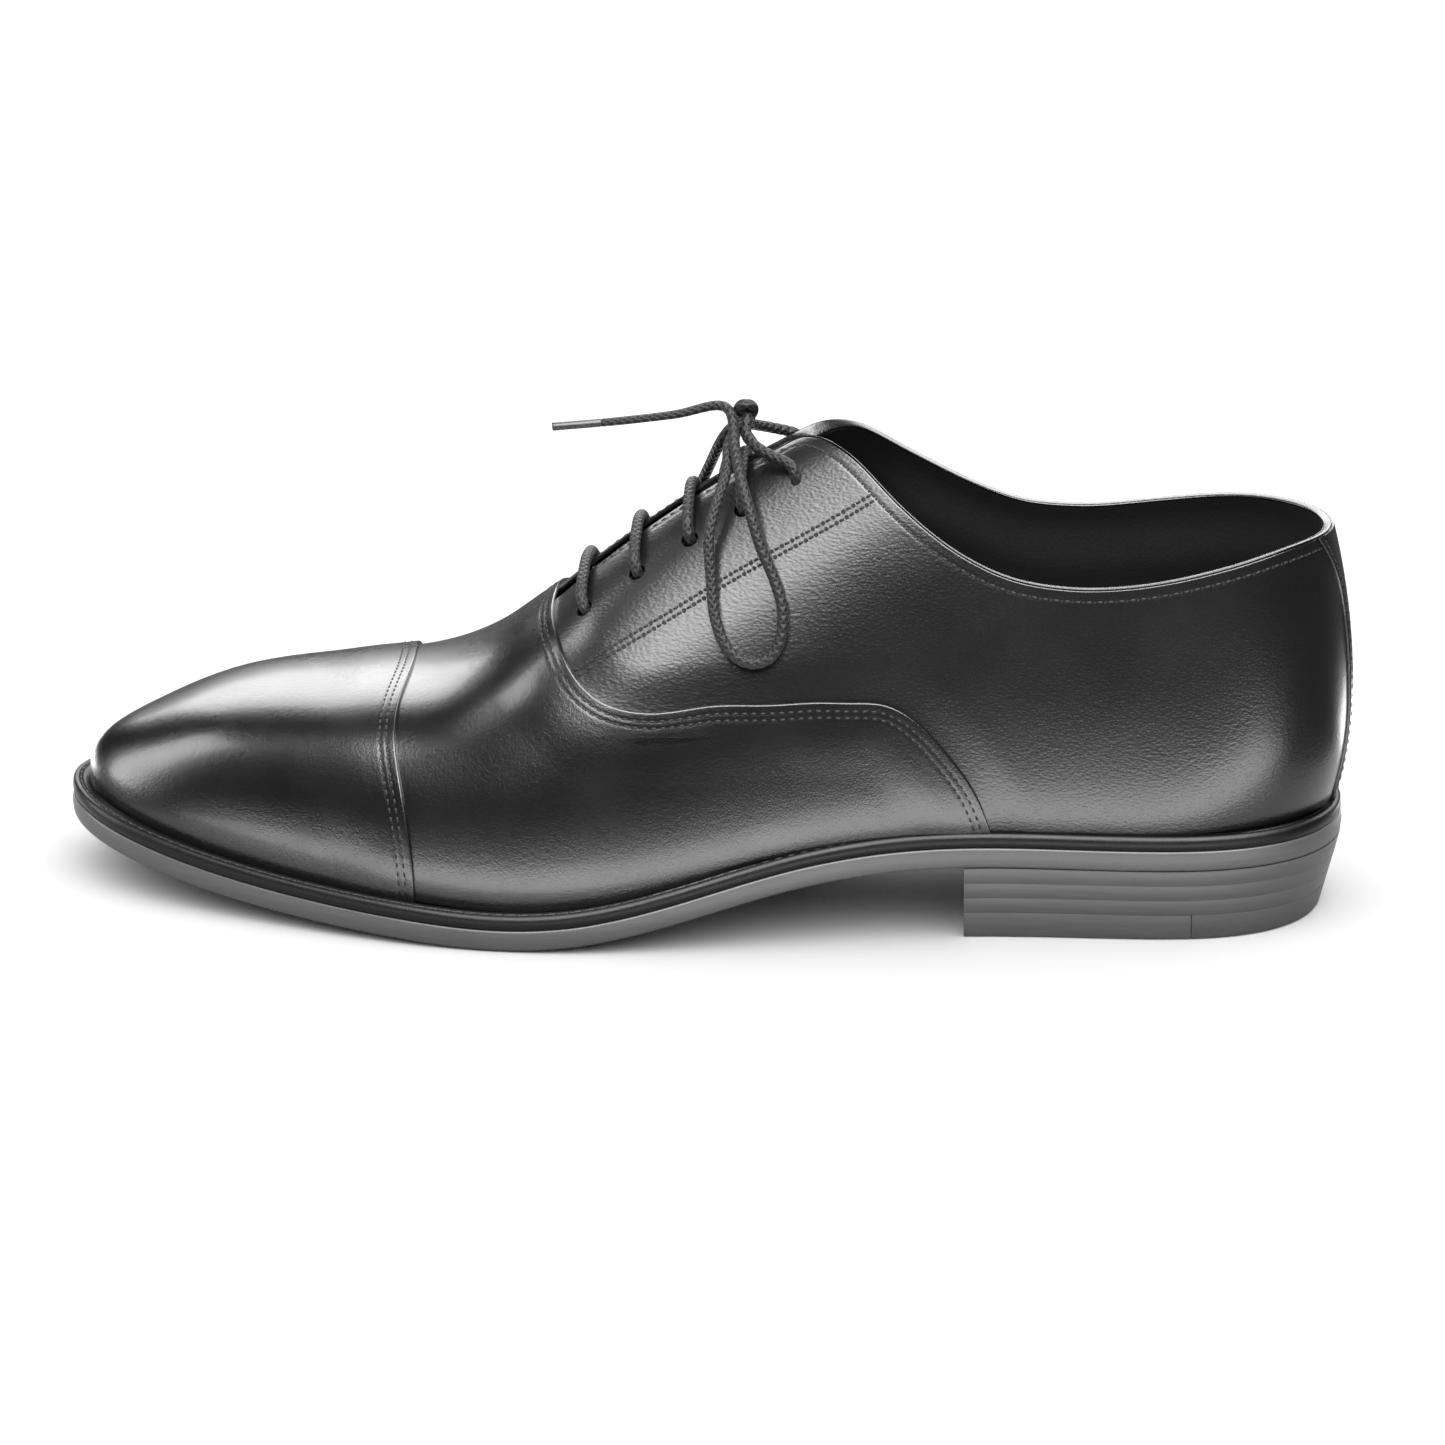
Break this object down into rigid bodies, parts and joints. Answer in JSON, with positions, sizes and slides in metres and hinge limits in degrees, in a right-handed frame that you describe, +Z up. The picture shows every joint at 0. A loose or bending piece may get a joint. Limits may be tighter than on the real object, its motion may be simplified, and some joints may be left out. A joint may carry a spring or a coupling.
{
  "type": "lace-up oxford shoe",
  "caption": "Black leather lace-up oxford dress shoe with stitched toe cap, closed lacing, welted leather sole and stacked heel.",
  "frame": {"origin": "centre of the footprint on the floor", "axes": "+X towards the heel, -X towards the toe, -Y the outer (lateral) side, +Z up"},
  "size_m": [0.3046, 0.1035, 0.1214],
  "materials": {
    "smooth_leather": "polished",
    "grain_leather": "satin",
    "lining": "matte",
    "stiffener": "matte",
    "cotton_tape": "matte",
    "sole_leather": "satin",
    "welt_leather": "satin",
    "cork": "matte",
    "shank_steel": "satin",
    "brass": "satin",
    "rubber": "matte",
    "lace_cotton": "satin",
    "aglet_plastic": "satin"
  },
  "bodies": {
    "shoe": {"aglet_lateral": "aglet_plastic", "aglet_medial": "aglet_plastic", "back_strip": "smooth_leather", "bottom_filler": "cork", "eyelet_lateral_1": "brass", "eyelet_lateral_2": "brass", "eyelet_lateral_3": "brass", "eyelet_lateral_4": "brass", "eyelet_lateral_5": "brass", "eyelet_medial_1": "brass", "eyelet_medial_2": "brass", "eyelet_medial_3": "brass", "eyelet_medial_4": "brass", "eyelet_medial_5": "brass", "facing_stay_lateral": "cotton_tape", "facing_stay_medial": "cotton_tape", "heel_counter": "stiffener", "heel_lift_1": "sole_leather", "heel_lift_2": "sole_leather", "heel_lift_3": "sole_leather", "heel_nail_1": "brass", "heel_nail_2": "brass", "heel_nail_3": "brass", "heel_nail_4": "brass", "heel_nail_5": "brass", "insole": "sole_leather", "lace_end_lateral": "lace_cotton", "lace_end_medial": "lace_cotton", "lace_knot": "lace_cotton", "lace_loop_lateral": "lace_cotton", "lace_loop_medial": "lace_cotton", "lace_through_eyelets": "lace_cotton", "outsole": "sole_leather", "quarter_lateral": "grain_leather", "quarter_lining_lateral": "lining", "quarter_lining_medial": "lining", "quarter_medial": "grain_leather", "rubber_heel_tip": "rubber", "shank": "shank_steel", "side_lining_lateral": "cotton_tape", "side_lining_medial": "cotton_tape", "sock_lining": "lining", "top_piece": "sole_leather", "topline_binding": "smooth_leather", "vamp": "smooth_leather", "vamp_doubler": "stiffener", "vamp_lining": "lining", "welt": "welt_leather"},
    "forepart": {"toe_cap": "smooth_leather", "toe_puff": "stiffener"},
    "tongue_flap": {"tongue": "smooth_leather", "tongue_lining": "lining"}
  },
  "joints": [
    {"name": "forefoot_flex", "type": "hinge", "parent": "shoe", "child": "forepart", "pos_m": [-0.05335, 0.00025, 0.012], "axis": [0, 1, 0], "range_deg": [0, 20], "stiffness_Nm_per_rad": 6, "deforming": ["vamp", "vamp_lining", "vamp_doubler", "outsole", "welt", "insole", "bottom_filler", "sock_lining"]},
    {"name": "tongue_swing", "type": "hinge", "parent": "shoe", "child": "tongue_flap", "pos_m": [-0.03385, -0.00095, 0.068], "axis": [0, 1, 0], "range_deg": [0, 12], "stiffness_Nm_per_rad": 0.3}
  ]
}
